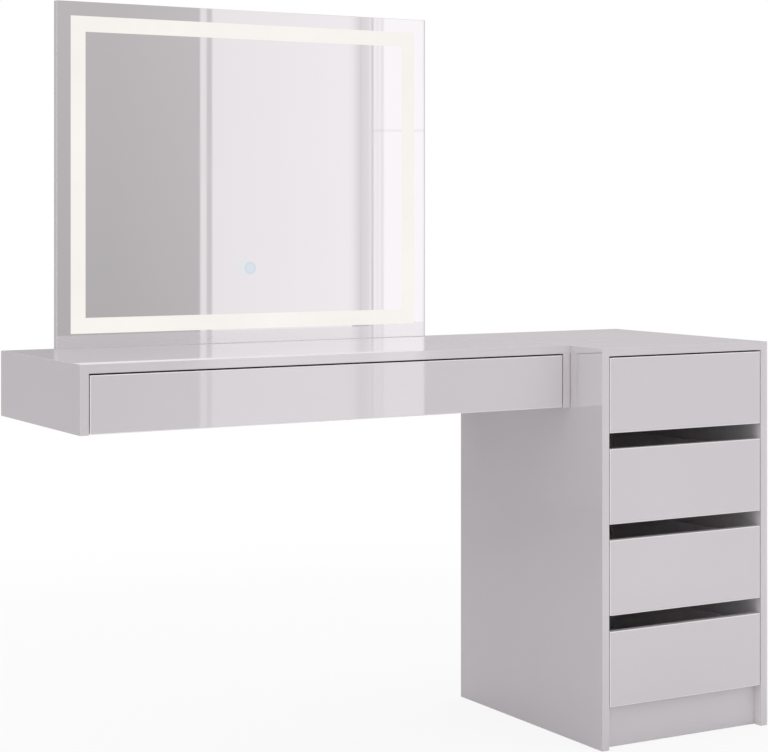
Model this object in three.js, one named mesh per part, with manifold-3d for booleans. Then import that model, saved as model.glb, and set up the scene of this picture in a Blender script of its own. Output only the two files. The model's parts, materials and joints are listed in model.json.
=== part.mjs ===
// Dressing table with a lit mirror: a floor-standing chest of four drawers, and a desk with one
// wide drawer that is screwed to the wall and butts against the chest's side. Millimetres, +Z up.
// The origin is on the floor, in the middle of the whole piece. The wall is at +Y, and drawers
// slide out along -Y.
import * as THREE from 'three';
import { mergeVertices } from 'three/addons/utils/BufferGeometryUtils.js';
import Module from 'manifold-3d';

const wasm = await Module();
wasm.setup();

// Overall sizes
const overall_width = 1400;
const overall_depth = 500;
const top_height = 757;
const chest_width = 400;
const desk_depth = 396;
const desk_height = 120;

// Boards, their rounded edges and the small gaps between them
const board = 16;
const box_board = 12;
const hardboard = 3;
const arris = 0.8;
const arris_steps = 2;
const seat_gap = 0.3;
const unit_gap = 0.4;
const overrun = 5;

// Drawer fronts and the plinth
const chest_drawers = 4;
const front_top_gap = 3;
const front_side_gap = 2;
const finger_gap = 30;
const desk_front_lift = 1;
const plinth_height = 80;
const plinth_setback = 20;
const plinth_front_gap = 0.5;

// Drawer boxes, each box's top edge lower than its front's by its drop, and the grooves that
// hold hardboard
const chest_box_length = 450;
const chest_box_drop = 20;
const chest_runner_rise = 18;
const chest_travel = 340;
const desk_box_length = 350;
const desk_box_drop = 19;
const desk_runner_rise = 10;
const desk_travel = 260;
const groove_slack = 0.6;
const groove_depth = 5;
const base_rise = 9;
const back_panel_inset = 12;

// Runners: a rail of folded sheet with one roller on the cabinet, and one on the drawer
const runner_space = 12.7;
const sheet = 1.2;
const roller_radius = 8;
const roller_width = 5.6;
const roller_chamfer = 0.7;
const roller_clearance = 1;
const roller_facets = 18;
const axle_radius = 2.6;
const axle_facets = 10;
const running_gap = 0.3;
const floor_reach = 10;
const floor_lip = 2;
const roof_reach = 6.5;
const shelf_reach = 11;
const rail_setback = 2;
const cabinet_roller_inset = 14;
const drawer_roller_inset = 12;
const drawer_roller_inboard = 2.6;
const stop_height = 2.4;
const stop_length = 5;
const stop_crest_share = 0.3;
const stop_gap = 1;
const slot_radius = 2.2;
const slot_length = 9;
const slot_arc_steps = 4;
const slot_place_shares = [0.26, 0.55, 0.84];

// Mirror
const mirror_margin = 103;
const mirror_width = 800;
const mirror_height = 650;
const mirror_board = 12;
const glass_thickness = 4;
const glass_edge = 0.5;
const window_inset = 27;
const window_width = 29.5;
const window_depth = 0.4;
const light_channel_depth = 7;
const led_strip_width = 12;
const led_strip_thickness = 2;
const touch_height = 145.5;
const sensor_radius = 10;
const sensor_length = 9;
const sensor_flange_reach = 3;
const sensor_flange_thickness = 1.5;
const sensor_facets = 32;
const plate_width = 260;
const plate_reach = 56;
const plate_thickness = 2;
const plate_corner = 10;
const plate_corner_steps = 4;
const plate_hole_radius = 2.6;
const plate_hole_across_shares = [-0.4, 0, 0.4];
const plate_hole_up_shares = [-0.5, 0.5];

// Places that follow from the sizes
const left = -overall_width / 2;
const right = overall_width / 2;
const wall = overall_depth / 2;
const chest_front = wall - overall_depth;
const desk_front = wall - desk_depth;
const chest_left = right - chest_width;
const chest_centre = right - chest_width / 2;
const chest_inner_width = chest_width - 2 * board;
const desk_width = overall_width - chest_width - unit_gap;
const desk_centre = left + desk_width / 2;
const desk_inner_width = desk_width - 2 * board;
const mirror_centre = left + mirror_margin + mirror_width / 2;
const plate_across = desk_centre - mirror_centre;
const desk_bottom = top_height - desk_height;
const front_top = top_height - board - front_top_gap;
const chest_front_bottom = plinth_height + plinth_front_gap;
const chest_fronts_height = front_top - chest_front_bottom - (chest_drawers - 1) * finger_gap;
const chest_front_height = chest_fronts_height / chest_drawers;
const desk_front_bottom = desk_bottom + desk_front_lift;
const desk_front_height = front_top - desk_front_bottom;

// Heights in a runner, above the underside of the cabinet rail
const drawer_roller_rise = sheet + running_gap + roller_radius;
const cabinet_roller_rise = drawer_roller_rise + running_gap;
const track_rise = cabinet_roller_rise + roller_radius + running_gap;
const track_top = track_rise + sheet;
const roof_rise = track_top + running_gap;
const shelf_rise = sheet + floor_lip + running_gap;
const box_rise = shelf_rise + sheet + seat_gap;

const finish = (color, roughness, metalness = 0) =>
  new THREE.MeshStandardMaterial({ color, roughness, metalness });
const gloss_board = () => finish(0xcfcacd, 0.1);
const drawer_board = () => finish(0xe4e1e3, 0.5);
const hardboard_sheet = () => finish(0xdfdbde, 0.6);
const coated_steel = () => finish(0xdedcda, 0.35, 0.2);
const zinc_steel = () => finish(0xb9bbbd, 0.4, 0.9);
const silvered_glass = () => finish(0xe6e4e2, 0.03, 1);
const led_plastic = () => finish(0xfdf6e8, 0.4);
const sensor_plastic = () => finish(0xbfdcec, 0.3);

// Axes for an outline that is drawn flat and given its thickness along X, Y or Z
const x_axis = new THREE.Vector3(1, 0, 0);
const y_axis = new THREE.Vector3(0, 1, 0);
const z_axis = new THREE.Vector3(0, 0, 1);
const through_x = new THREE.Matrix4().makeBasis(y_axis, z_axis, x_axis);
const through_y = new THREE.Matrix4().makeBasis(z_axis, x_axis, y_axis);

const outline_of = (points) => new THREE.Shape(points.map(([a, b]) => new THREE.Vector2(a, b)));

const rectangle = (a0, b0, a1, b1) => outline_of([[a0, b0], [a1, b0], [a1, b1], [a0, b1]]);

// A rectangular ring, such as a channel that runs round a board.
function ring(width, height, inset, band) {
  const outline = rectangle(inset, inset, width - inset, height - inset);
  const inner = inset + band;
  outline.holes.push(rectangle(inner, inner, width - inner, height - inner));
  return outline;
}

// An outline given a thickness along Z, from zero up, with its edges rounded over if asked.
function slab(outline, thickness, edge = 0, curveSegments = 1) {
  const solid = new THREE.ExtrudeGeometry(outline, {
    depth: thickness - 2 * edge,
    curveSegments,
    bevelEnabled: edge > 0,
    bevelThickness: edge,
    bevelSize: edge,
    bevelOffset: -edge,
    bevelSegments: arris_steps,
  });
  solid.translate(0, 0, edge);
  return solid;
}

// A board that fills the space between two corners. Its thickness runs along one axis, and the
// edges of both its faces are rounded over.
function board_between([x0, y0, z0], [x1, y1, z1], thin_axis, edge = arris) {
  const [width, depth, height] = [x1 - x0, y1 - y0, z1 - z0];
  let solid;
  if (thin_axis === 'x') {
    solid = slab(rectangle(0, 0, depth, height), width, edge).applyMatrix4(through_x);
  } else if (thin_axis === 'y') {
    solid = slab(rectangle(0, 0, height, width), depth, edge).applyMatrix4(through_y);
  } else {
    solid = slab(rectangle(0, 0, width, depth), height, edge);
  }
  return solid.translate(x0, y0, z0);
}

// A plain block between any two corners, mostly used as a cutter.
function block([x0, y0, z0], [x1, y1, z1]) {
  const solid = new THREE.BoxGeometry(Math.abs(x1 - x0), Math.abs(y1 - y0), Math.abs(z1 - z0));
  return solid.translate((x0 + x1) / 2, (y0 + y1) / 2, (z0 + z1) / 2);
}

function to_solid(geometry) {
  const bare = geometry.clone();
  bare.deleteAttribute('normal');
  bare.deleteAttribute('uv');
  const merged = mergeVertices(bare);
  return new wasm.Manifold(new wasm.Mesh({
    numProp: 3,
    vertProperties: new Float32Array(merged.attributes.position.array),
    triVerts: new Uint32Array(merged.index.array),
  }));
}

function shaped(body, { joined = [], cut = [] }) {
  let solid = to_solid(body);
  for (const piece of joined) solid = solid.add(to_solid(piece));
  for (const piece of cut) solid = solid.subtract(to_solid(piece));
  const { vertProperties, triVerts } = solid.getMesh();
  const geometry = new THREE.BufferGeometry();
  geometry.setAttribute('position', new THREE.BufferAttribute(vertProperties, 3));
  geometry.setIndex(new THREE.BufferAttribute(triVerts, 1));
  geometry.computeVertexNormals();
  return geometry;
}

function named(name, geometry, material) {
  const mesh = new THREE.Mesh(geometry, material);
  mesh.name = name;
  return mesh;
}

function placed(group, x, y, z) {
  group.position.set(x, y, z);
  return group;
}

// The chest: both sides stand on the floor, the top lies over them, and the back panel slides
// in grooves. Its frame starts at the left front corner on the floor.
function chest() {
  const group = new THREE.Group();
  const side_top = top_height - board - seat_gap;
  const groove_back = overall_depth - back_panel_inset;
  const groove_front = groove_back - hardboard - groove_slack;
  const near = board - groove_depth;
  const far = chest_width - near;

  const panel_groove = block([near, groove_front, plinth_height],
    [far, groove_back, top_height - board + groove_depth]);
  const upright = (x) =>
    board_between([x, 0, 0], [x + board, overall_depth, side_top], 'x');
  const side_groove = { cut: [panel_groove] };
  group.add(named('chest_side_left', shaped(upright(0), side_groove), gloss_board()));
  group.add(named('chest_side_right', shaped(upright(chest_width - board), side_groove),
    gloss_board()));

  const top = board_between([0, 0, top_height - board],
    [chest_width, overall_depth, top_height], 'z');
  group.add(named('chest_top', shaped(top, side_groove), gloss_board()));

  const inner_left = board + seat_gap;
  const inner_right = chest_width - board - seat_gap;
  const bottom_low = plinth_height + seat_gap;
  group.add(named('chest_bottom', board_between([inner_left, plinth_setback, bottom_low],
    [inner_right, groove_front - seat_gap, bottom_low + board], 'z'), gloss_board()));
  group.add(named('chest_plinth', board_between([inner_left, plinth_setback, 0],
    [inner_right, plinth_setback + board, plinth_height], 'y'), gloss_board()));

  const panel_back = groove_back - groove_slack / 2;
  group.add(named('chest_back_panel', board_between(
    [near + seat_gap, panel_back - hardboard, bottom_low],
    [far - seat_gap, panel_back, top_height - board + groove_depth - seat_gap],
    'y', 0), hardboard_sheet()));
  return group;
}

// The recess for the fixing plate, let into whatever meets the wall there. Its frame is centred
// on the desk, with the wall at Y zero and the desk's top surface at Z zero.
function plate_recess(x, y, z) {
  const half = plate_width / 2 + seat_gap;
  const reach = plate_reach + seat_gap;
  const deep = plate_thickness + seat_gap;
  return block([x - half, y - deep, z - reach], [x + half, y + overrun, z + reach]);
}

// The desk: a top over two shallow sides, closed at the wall by the rail that carries it. Its
// frame starts at the left front corner of the sides' lower edge.
function desk() {
  const group = new THREE.Group();
  const side_top = desk_height - board - seat_gap;
  const recess = { cut: [plate_recess(desk_width / 2, desk_depth, desk_height)] };

  group.add(named('desk_side_left', board_between([0, 0, 0],
    [board, desk_depth, side_top], 'x'), gloss_board()));
  group.add(named('desk_side_right', board_between([desk_width - board, 0, 0],
    [desk_width, desk_depth, side_top], 'x'), gloss_board()));

  const top = board_between([0, 0, desk_height - board], [desk_width, desk_depth, desk_height], 'z');
  group.add(named('desk_top', shaped(top, recess), gloss_board()));

  const rail = board_between([board + seat_gap, desk_depth - board, 0],
    [desk_width - board - seat_gap, desk_depth, side_top], 'y');
  group.add(named('desk_rear_rail', shaped(rail, recess), gloss_board()));
  return group;
}

// A drawer's five boards. Its frame has X from the middle of the front, Y back from the front's
// face and Z up from the front's lower edge.
function drawer(name, inner_width, front_height, box_length, box_drop, runner_rise) {
  const group = new THREE.Group();
  const half_front = inner_width / 2 - front_side_gap;
  const half_box = inner_width / 2 - runner_space;
  const half_inside = half_box - box_board;
  const box_front = board + seat_gap;
  const box_back = box_front + box_length;
  const box_low = runner_rise + box_rise;
  const box_top = front_height - box_drop;
  const base_low = box_low + base_rise;
  const base_high = base_low + hardboard;
  const half_slit = half_inside + groove_depth;
  const half_base = half_slit - seat_gap;
  const base_front = board - groove_depth + seat_gap;

  const base_slit = block([-half_slit, board - groove_depth, base_low - groove_slack / 2],
    [half_slit, box_back + overrun, base_high + groove_slack / 2]);
  const slit = { cut: [base_slit] };

  const front = board_between([-half_front, 0, 0], [half_front, board, front_height], 'y');
  group.add(named(`${name}_front`, shaped(front, slit), gloss_board()));

  const box_side = (x) => shaped(board_between([x, box_front, box_low],
    [x + box_board, box_back, box_top], 'x'), slit);
  group.add(named(`${name}_side_left`, box_side(-half_box), drawer_board()));
  group.add(named(`${name}_side_right`, box_side(half_inside), drawer_board()));

  group.add(named(`${name}_rear`, board_between(
    [-half_inside + seat_gap, box_back - box_board, base_high + seat_gap],
    [half_inside - seat_gap, box_back, box_top], 'y'), drawer_board()));
  group.add(named(`${name}_base`, board_between([-half_base, base_front, base_low],
    [half_base, box_back, base_high], 'z', 0), hardboard_sheet()));
  return group;
}

// A roller on its axle, along X from one place across to another, the axle reaching its web.
function roller(from, to, web, y, z) {
  const [low, high] = [Math.min(from, to), Math.max(from, to)];
  const rim = roller_radius - roller_chamfer;
  const turned = (profile, facets) => {
    const points = profile.map(([radius, along]) => new THREE.Vector2(radius, along));
    return new THREE.LatheGeometry(points, facets).applyMatrix4(through_y).translate(0, y, z);
  };
  const tread = turned([[0, low], [rim, low], [roller_radius, low + roller_chamfer],
    [roller_radius, high - roller_chamfer], [rim, high], [0, high]], roller_facets);
  const middle = (from + to) / 2;
  const [start, end] = [Math.min(web, middle), Math.max(web, middle)];
  const axle = turned([[0, start], [axle_radius, start], [axle_radius, end], [0, end]], axle_facets);
  return [tread, axle];
}

// A profile of [across, up] points drawn out along Y from one depth to another.
function drawn_rail(profile, across, front, back) {
  const outline = outline_of(profile.map(([out, up]) => [up, across(out)]));
  return slab(outline, back - front).applyMatrix4(through_y).translate(0, front, 0);
}

// The screw slots through a rail's web, which stands at one place across.
function screw_slots(web_from, web_to, front, back, up) {
  const half = slot_length / 2 - slot_radius;
  const thickness = Math.abs(web_to - web_from) + 2 * running_gap;
  return slot_place_shares.map((share) => {
    const outline = new THREE.Shape();
    outline.absarc(half, 0, slot_radius, -Math.PI / 2, Math.PI / 2, false);
    outline.absarc(-half, 0, slot_radius, Math.PI / 2, Math.PI * 3 / 2, false);
    const place = front + share * (back - front);
    return slab(outline, thickness, 0, slot_arc_steps).applyMatrix4(through_x)
      .translate(Math.min(web_from, web_to) - running_gap, place, up);
  });
}

// A runner pair in the drawer's frame: the cabinet rail is a channel with a roller at its front,
// and the drawer rail runs over that roller, with a roller at its back inside the channel.
function runner(names, inner_width, box_length, travel, runner_rise, way) {
  const across = (out) => way * (inner_width / 2 - out);
  const front = board + rail_setback;
  const back = front + box_length;

  const web_inner = seat_gap + sheet;
  const floor_end = seat_gap + floor_reach;
  const lip_inner = floor_end - sheet;
  const roof_end = seat_gap + roof_reach;
  const channel = [[seat_gap, 0], [floor_end, 0], [floor_end, sheet + floor_lip],
    [lip_inner, sheet + floor_lip], [lip_inner, sheet], [web_inner, sheet],
    [web_inner, roof_rise], [roof_end, roof_rise], [roof_end, roof_rise + sheet],
    [seat_gap, roof_rise + sheet]];
  const roller_near = web_inner + roller_clearance;
  const front_roller = roller(across(roller_near), across(roller_near + roller_width),
    across(web_inner - sheet / 2), front + cabinet_roller_inset, cabinet_roller_rise);

  const back_roller_y = back - drawer_roller_inset;
  const stop_back = back_roller_y - travel - roller_radius - stop_gap;
  const stop_front = stop_back - stop_length;
  const crest = stop_length * stop_crest_share;
  const ridge_outline = outline_of([[stop_front, sheet / 2], [stop_back, sheet / 2],
    [stop_back, sheet], [stop_back - crest, sheet + stop_height],
    [stop_front + crest, sheet + stop_height], [stop_front, sheet]]);
  const ridge_near = Math.min(across(roller_near), across(roller_near + roller_width));
  const ridge = slab(ridge_outline, roller_width).applyMatrix4(through_x)
    .translate(ridge_near, 0, 0);
  const cabinet_rail = shaped(drawn_rail(channel, across, front, back), {
    joined: [...front_roller, ridge],
    cut: screw_slots(across(seat_gap), across(web_inner), front, back, track_rise / 2),
  });

  const web_outer = runner_space - seat_gap;
  const web_face = web_outer - sheet;
  const shelf_end = web_outer + shelf_reach;
  const track = [[roller_near, track_rise], [web_face, track_rise], [web_face, shelf_rise],
    [shelf_end, shelf_rise], [shelf_end, shelf_rise + sheet], [web_outer, shelf_rise + sheet],
    [web_outer, track_top], [roller_near, track_top]];
  const rear_near = web_face - drawer_roller_inboard;
  const back_roller = roller(across(rear_near), across(rear_near - roller_width),
    across(web_outer - sheet / 2), back_roller_y, drawer_roller_rise);
  const drawer_rail = shaped(drawn_rail(track, across, front, back), {
    joined: back_roller,
    cut: screw_slots(across(web_face), across(web_outer), front, back, track_rise / 2),
  });

  const group = new THREE.Group();
  group.add(named(names[0], cabinet_rail, coated_steel()));
  group.add(named(names[1], drawer_rail, coated_steel()));
  return placed(group, 0, 0, runner_rise);
}

// A drawer with its two runner pairs, standing behind the opening that its front fills.
function drawer_unit(name, inner_width, front_height, length, box_drop, rise, travel) {
  const group = drawer(name, inner_width, front_height, length, box_drop, rise);
  for (const [hand, way] of [['left', -1], ['right', 1]]) {
    const names = [`${name}_cabinet_rail_${hand}`, `${name}_rail_${hand}`];
    group.add(runner(names, inner_width, length, travel, rise, way));
  }
  return group;
}

// The mirror. Its frame is centred across, with the wall at Y zero and its lower edge at Z zero.
// Its fixing plate is centred on the desk.
function mirror() {
  const group = new THREE.Group();
  const half = mirror_width / 2;
  const glass_back = -mirror_board - seat_gap;
  const glass_front = glass_back - glass_thickness;
  const ring_at = (inset, band, depth, y) =>
    slab(ring(mirror_height, mirror_width, inset, band), depth)
      .applyMatrix4(through_y).translate(-half, y, 0);

  const sensor_front = -mirror_board;
  const sensor_outline = (slack) => {
    const [barrel, flange] = [sensor_radius + slack, sensor_radius + sensor_flange_reach + slack];
    const end = sensor_front + sensor_length + slack;
    const step = sensor_front + sensor_flange_thickness + slack;
    const face = sensor_front - (slack > 0 ? overrun : 0);
    const points = [[0, face], [flange, face], [flange, step], [barrel, step], [barrel, end],
      [0, end]].map(([radius, along]) => new THREE.Vector2(radius, along));
    return new THREE.LatheGeometry(points, sensor_facets).translate(0, 0, touch_height);
  };

  const backing = board_between([-half, -mirror_board, 0], [half, 0, mirror_height], 'y');
  group.add(named('mirror_backing', shaped(backing, {
    cut: [
      ring_at(window_inset, window_width, light_channel_depth + overrun,
        -mirror_board - overrun),
      sensor_outline(seat_gap),
      plate_recess(plate_across, 0, -seat_gap),
    ],
  }), gloss_board()));

  const glass = board_between([-half, glass_front, 0], [half, glass_back, mirror_height],
    'y', glass_edge);
  group.add(named('mirror_glass', shaped(glass, {
    cut: [ring_at(window_inset, window_width, window_depth + overrun, glass_back - window_depth)],
  }), silvered_glass()));

  const strip_inset = window_inset + (window_width - led_strip_width) / 2;
  const strip_back = -mirror_board + light_channel_depth - seat_gap;
  group.add(named('mirror_led_strip', ring_at(strip_inset, led_strip_width, led_strip_thickness,
    strip_back - led_strip_thickness), led_plastic()));
  group.add(named('mirror_touch_sensor', sensor_outline(0), sensor_plastic()));

  const outline = new THREE.Shape();
  const [across, up] = [plate_width / 2 - plate_corner, plate_reach - plate_corner];
  outline.absarc(up, across, plate_corner, 0, Math.PI / 2, false);
  outline.absarc(-up, across, plate_corner, Math.PI / 2, Math.PI, false);
  outline.absarc(-up, -across, plate_corner, Math.PI, Math.PI * 3 / 2, false);
  outline.absarc(up, -across, plate_corner, Math.PI * 3 / 2, Math.PI * 2, false);
  for (const across_share of plate_hole_across_shares) {
    for (const up_share of plate_hole_up_shares) {
      const hole = new THREE.Path();
      hole.absarc(up_share * plate_reach, across_share * plate_width, plate_hole_radius,
        0, Math.PI * 2, true);
      outline.holes.push(hole);
    }
  }
  const plate = slab(outline, plate_thickness, 0, plate_corner_steps).applyMatrix4(through_y)
    .translate(plate_across, -plate_thickness, -seat_gap);
  group.add(named('mirror_fixing_plate', plate, zinc_steel()));
  return group;
}

const dressing_table = new THREE.Group();
dressing_table.add(placed(chest(), chest_left, chest_front, 0));
dressing_table.add(placed(desk(), left, desk_front, desk_bottom));
dressing_table.add(placed(drawer_unit('desk_drawer', desk_inner_width, desk_front_height,
  desk_box_length, desk_box_drop, desk_runner_rise, desk_travel),
desk_centre, desk_front, desk_front_bottom));
for (let number = 1; number <= chest_drawers; number += 1) {
  const below = chest_drawers - number;
  const height = chest_front_bottom + below * (chest_front_height + finger_gap);
  dressing_table.add(placed(drawer_unit(`chest_drawer_${number}`, chest_inner_width,
    chest_front_height, chest_box_length, chest_box_drop, chest_runner_rise, chest_travel),
  chest_centre, chest_front, height));
}
dressing_table.add(placed(mirror(), mirror_centre, wall, top_height + seat_gap));

export default dressing_table;
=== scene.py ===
import json
import math

import bmesh
import bpy
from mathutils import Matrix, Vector


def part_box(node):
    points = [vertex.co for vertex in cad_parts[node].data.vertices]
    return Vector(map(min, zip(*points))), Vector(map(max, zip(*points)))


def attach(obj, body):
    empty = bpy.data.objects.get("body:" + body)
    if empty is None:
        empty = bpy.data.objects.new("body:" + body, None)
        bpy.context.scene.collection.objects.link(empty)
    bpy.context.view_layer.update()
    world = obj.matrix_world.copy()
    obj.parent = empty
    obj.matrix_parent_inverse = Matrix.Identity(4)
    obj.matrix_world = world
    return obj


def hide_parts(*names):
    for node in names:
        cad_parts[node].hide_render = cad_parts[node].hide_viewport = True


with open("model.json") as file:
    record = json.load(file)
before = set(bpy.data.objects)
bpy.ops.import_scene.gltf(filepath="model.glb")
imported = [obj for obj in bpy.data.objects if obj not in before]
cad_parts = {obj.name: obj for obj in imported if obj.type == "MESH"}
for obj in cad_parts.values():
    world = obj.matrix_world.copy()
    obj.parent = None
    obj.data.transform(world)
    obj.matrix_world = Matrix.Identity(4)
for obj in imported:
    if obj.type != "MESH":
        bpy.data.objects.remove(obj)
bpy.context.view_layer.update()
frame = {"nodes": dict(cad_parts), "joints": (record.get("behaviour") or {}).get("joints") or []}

# The camera stands at eye height to the left of the piece, level, and turned to the right. Its
# lens is shifted down, so that upright edges stay upright in the picture.
bpy.ops.object.select_all(action="DESELECT")
bpy.ops.object.camera_add(location=(-1.94943, -3.34124, 1.01253),
                          rotation=(math.radians(90), 0, math.radians(-29.88984)))
camera = bpy.context.object
camera.name = "camera"
camera.data.sensor_width = 36
camera.data.lens = 94.972
camera.data.shift_y = -0.21353
bpy.context.scene.camera = camera
bpy.context.scene.view_settings.view_transform = "Standard"


# The studio is a white room, lit softly from the front and from above. What shines in it shows
# grey walls, their corners and one tall window, so a bearing alone says how bright it is there.
# Bearings are in degrees, from straight in front of the piece towards its right.
def add_node(tree, kind, feeds=None, **settings):
    """Adds a node, sets it, and feeds its inputs with plain values or with other nodes."""
    made = tree.nodes.new("ShaderNode" + kind)
    for setting, value in settings.items():
        setattr(made, setting, value)
    for socket, value in (feeds or {}).items():
        if isinstance(value, bpy.types.NodeSocket):
            tree.links.new(value, made.inputs[socket])
        else:
            made.inputs[socket].default_value = value
    return made


def reckon(tree, operation, first, second=0.0):
    return add_node(tree, "Math", {0: first, 1: second}, operation=operation).outputs[0]


def between(tree, value, start, end, low, high, way="LINEAR"):
    """Goes from low to high while a value goes from start to end."""
    feeds = {"Value": value, "From Min": start, "From Max": end, "To Min": low, "To Max": high}
    return add_node(tree, "MapRange", feeds, interpolation_type=way).outputs["Result"]


def mix_colour(tree, share, first, second):
    return add_node(tree, "Mix", {0: share, 6: first, 7: second}, data_type="RGBA").outputs[2]


wall_behind = 0.47
wall_changes = [(-152, 3, -0.18), (-146.2, 2.2, 0.08), (-115, 25, 0.23), (-40, 25, 0.12),
                (5, 14, -0.23), (23.39, 1.2, 0.04), (24.705, 0.025, 0.3),
                (24.887, 0.025, -0.2), (25.038, 0.025, 0.24), (27.03, 1.9, 0.06),
                (33.6, 2.5, 0.05), (60, 20, -0.04), (154, 4, -0.18)]
window_changes = [(28.971, 0.085, -0.06), (29.084, 0.05, -0.073), (29.18, 0.04, -0.054),
                  (29.217, 0.012, -0.052), (29.245, 0.012, 0.052), (29.353, 0.1, 0.046),
                  (29.48, 0.02, 0.098), (29.534, 0.02, -0.226), (29.593, 0.02, 0.3),
                  (29.664, 0.02, -0.055), (29.743, 0.03, 0.049), (29.808, 0.02, -0.102),
                  (29.879, 0.02, 0.183), (31.026, 0.025, -0.5)]
wall_tint = (1, 0.957, 0.985)
transom_height = 2.3
transom_half = 0.02
transom_shade = -0.1
light_from = Vector((0.257, -0.208, 0.943)).normalized()
light_behind = 0.17
light_ahead = 1.23

world = bpy.data.worlds.new("studio")
world.use_nodes = True
bpy.context.scene.world = world
room = world.node_tree
background = room.nodes["Background"]
outward = add_node(room, "TexCoord").outputs["Generated"]
along = add_node(room, "SeparateXYZ", {0: outward}).outputs
bearing = reckon(room, "ARCTAN2", along["X"], reckon(room, "MULTIPLY", along["Y"], -1))
bearing = reckon(room, "DEGREES", bearing)
brightness = wall_behind
for at, half, change in wall_changes + window_changes:
    step = between(room, bearing, at - half, at + half, 0, change)
    brightness = reckon(room, "ADD", step, brightness)
lift = reckon(room, "DEGREES", reckon(room, "ARCSINE", along["Z"]))
dim_wall = between(room, bearing, 24.6, 24.8, 1, 0)
dim_wall = reckon(room, "MULTIPLY", dim_wall, between(room, lift, -4, 6, -0.02, 0.045))
brightness = reckon(room, "ADD", brightness, dim_wall)
off_transom = reckon(room, "ABSOLUTE", reckon(room, "SUBTRACT", lift, transom_height))
transom = between(room, off_transom, transom_half, 2 * transom_half, transom_shade, 0)
in_window = between(room, bearing, 29.559, 29.61, 0, 1)
past_window = between(room, bearing, 31.016, 31.036, 1, 0)
transom = reckon(room, "MULTIPLY", transom, reckon(room, "MULTIPLY", in_window, past_window))
brightness = reckon(room, "ADD", brightness, transom)
ceiling = between(room, along["X"], 0.36, 0.52, 1.5, 0.3)
ceiling_share = between(room, along["Z"], 0.3, 0.7, 0, 1, "SMOOTHSTEP")
seen_wall = add_node(room, "VectorMath", {0: wall_tint, "Scale": brightness},
                     operation="SCALE").outputs[0]
seen_ceiling = add_node(room, "CombineXYZ", {0: ceiling, 1: ceiling, 2: ceiling}).outputs[0]
seen = mix_colour(room, ceiling_share, seen_wall, seen_ceiling)
facing = add_node(room, "VectorMath", {0: outward, 1: light_from},
                  operation="DOT_PRODUCT").outputs["Value"]
glow = between(room, facing, -1, 1, light_behind, light_ahead)
glow = add_node(room, "CombineXYZ", {0: glow, 1: glow, 2: glow}).outputs[0]
ray = add_node(room, "LightPath").outputs
white = (1, 1, 1, 1)
lit = mix_colour(room, ray["Is Glossy Ray"], glow, seen)
straight = reckon(room, "MAXIMUM", ray["Is Camera Ray"], ray["Is Transmission Ray"])
room.links.new(mix_colour(room, straight, lit, white), background.inputs["Color"])

# The floor is a pale sheet that fades into the white of the room. It keeps the soft shadow of
# the piece. Shines see a painted reflection of it: a dull grey of its own, as dull as the walls,
# and darker behind the piece than before it.
floor_radius = 2.8
floor_drop = 0.0004
pale_floor = (0.8, 0.8, 0.805, 1)
dull_floor_ahead = (0.56, 0.555, 0.565, 1)
dull_floor_behind = (0.28, 0.275, 0.28, 1)
shadow_share = 0.15

bpy.ops.object.select_all(action="DESELECT")
bpy.ops.mesh.primitive_circle_add(vertices=96, radius=floor_radius, fill_type="NGON",
                                  location=(0, 0, -floor_drop))
floor = bpy.context.object
floor.name = "floor"
paper = bpy.data.materials.new("floor_paper")
paper.use_nodes = True
sheet_tree = paper.node_tree
ray = add_node(sheet_tree, "LightPath").outputs
place = add_node(sheet_tree, "TexCoord").outputs["Object"]
reach = add_node(sheet_tree, "VectorMath", {0: place}, operation="LENGTH").outputs["Value"]
whiteness = between(sheet_tree, reach, 1.3, 2.6, 1 - shadow_share, 1, "SMOOTHSTEP")
whiteness = reckon(sheet_tree, "MULTIPLY", whiteness, ray["Is Camera Ray"])
matt = sheet_tree.nodes["Principled BSDF"]
matt.inputs["Roughness"].default_value = 0.9
matt.inputs["Specular IOR Level"].default_value = 0
# Shines see the floor in a painted reflection colour, a grey that darkens from before the piece to behind
# it.
depth = add_node(sheet_tree, "SeparateXYZ", {0: place}).outputs["Y"]
dull_floor = mix_colour(sheet_tree, between(sheet_tree, depth, -1.6, 2.1, 0, 1),
                        dull_floor_ahead, dull_floor_behind)
sheet_tree.links.new(mix_colour(sheet_tree, ray["Is Glossy Ray"], pale_floor, dull_floor),
                     matt.inputs["Base Color"])
bright = add_node(sheet_tree, "Emission", {"Color": white, "Strength": 1})
floor_mix = add_node(sheet_tree, "MixShader", {0: whiteness, 1: matt.outputs[0],
                                               2: bright.outputs[0]})
sheet_tree.links.new(floor_mix.outputs[0],
                     sheet_tree.nodes["Material Output"].inputs["Surface"])
floor.data.materials.append(paper)


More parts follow.
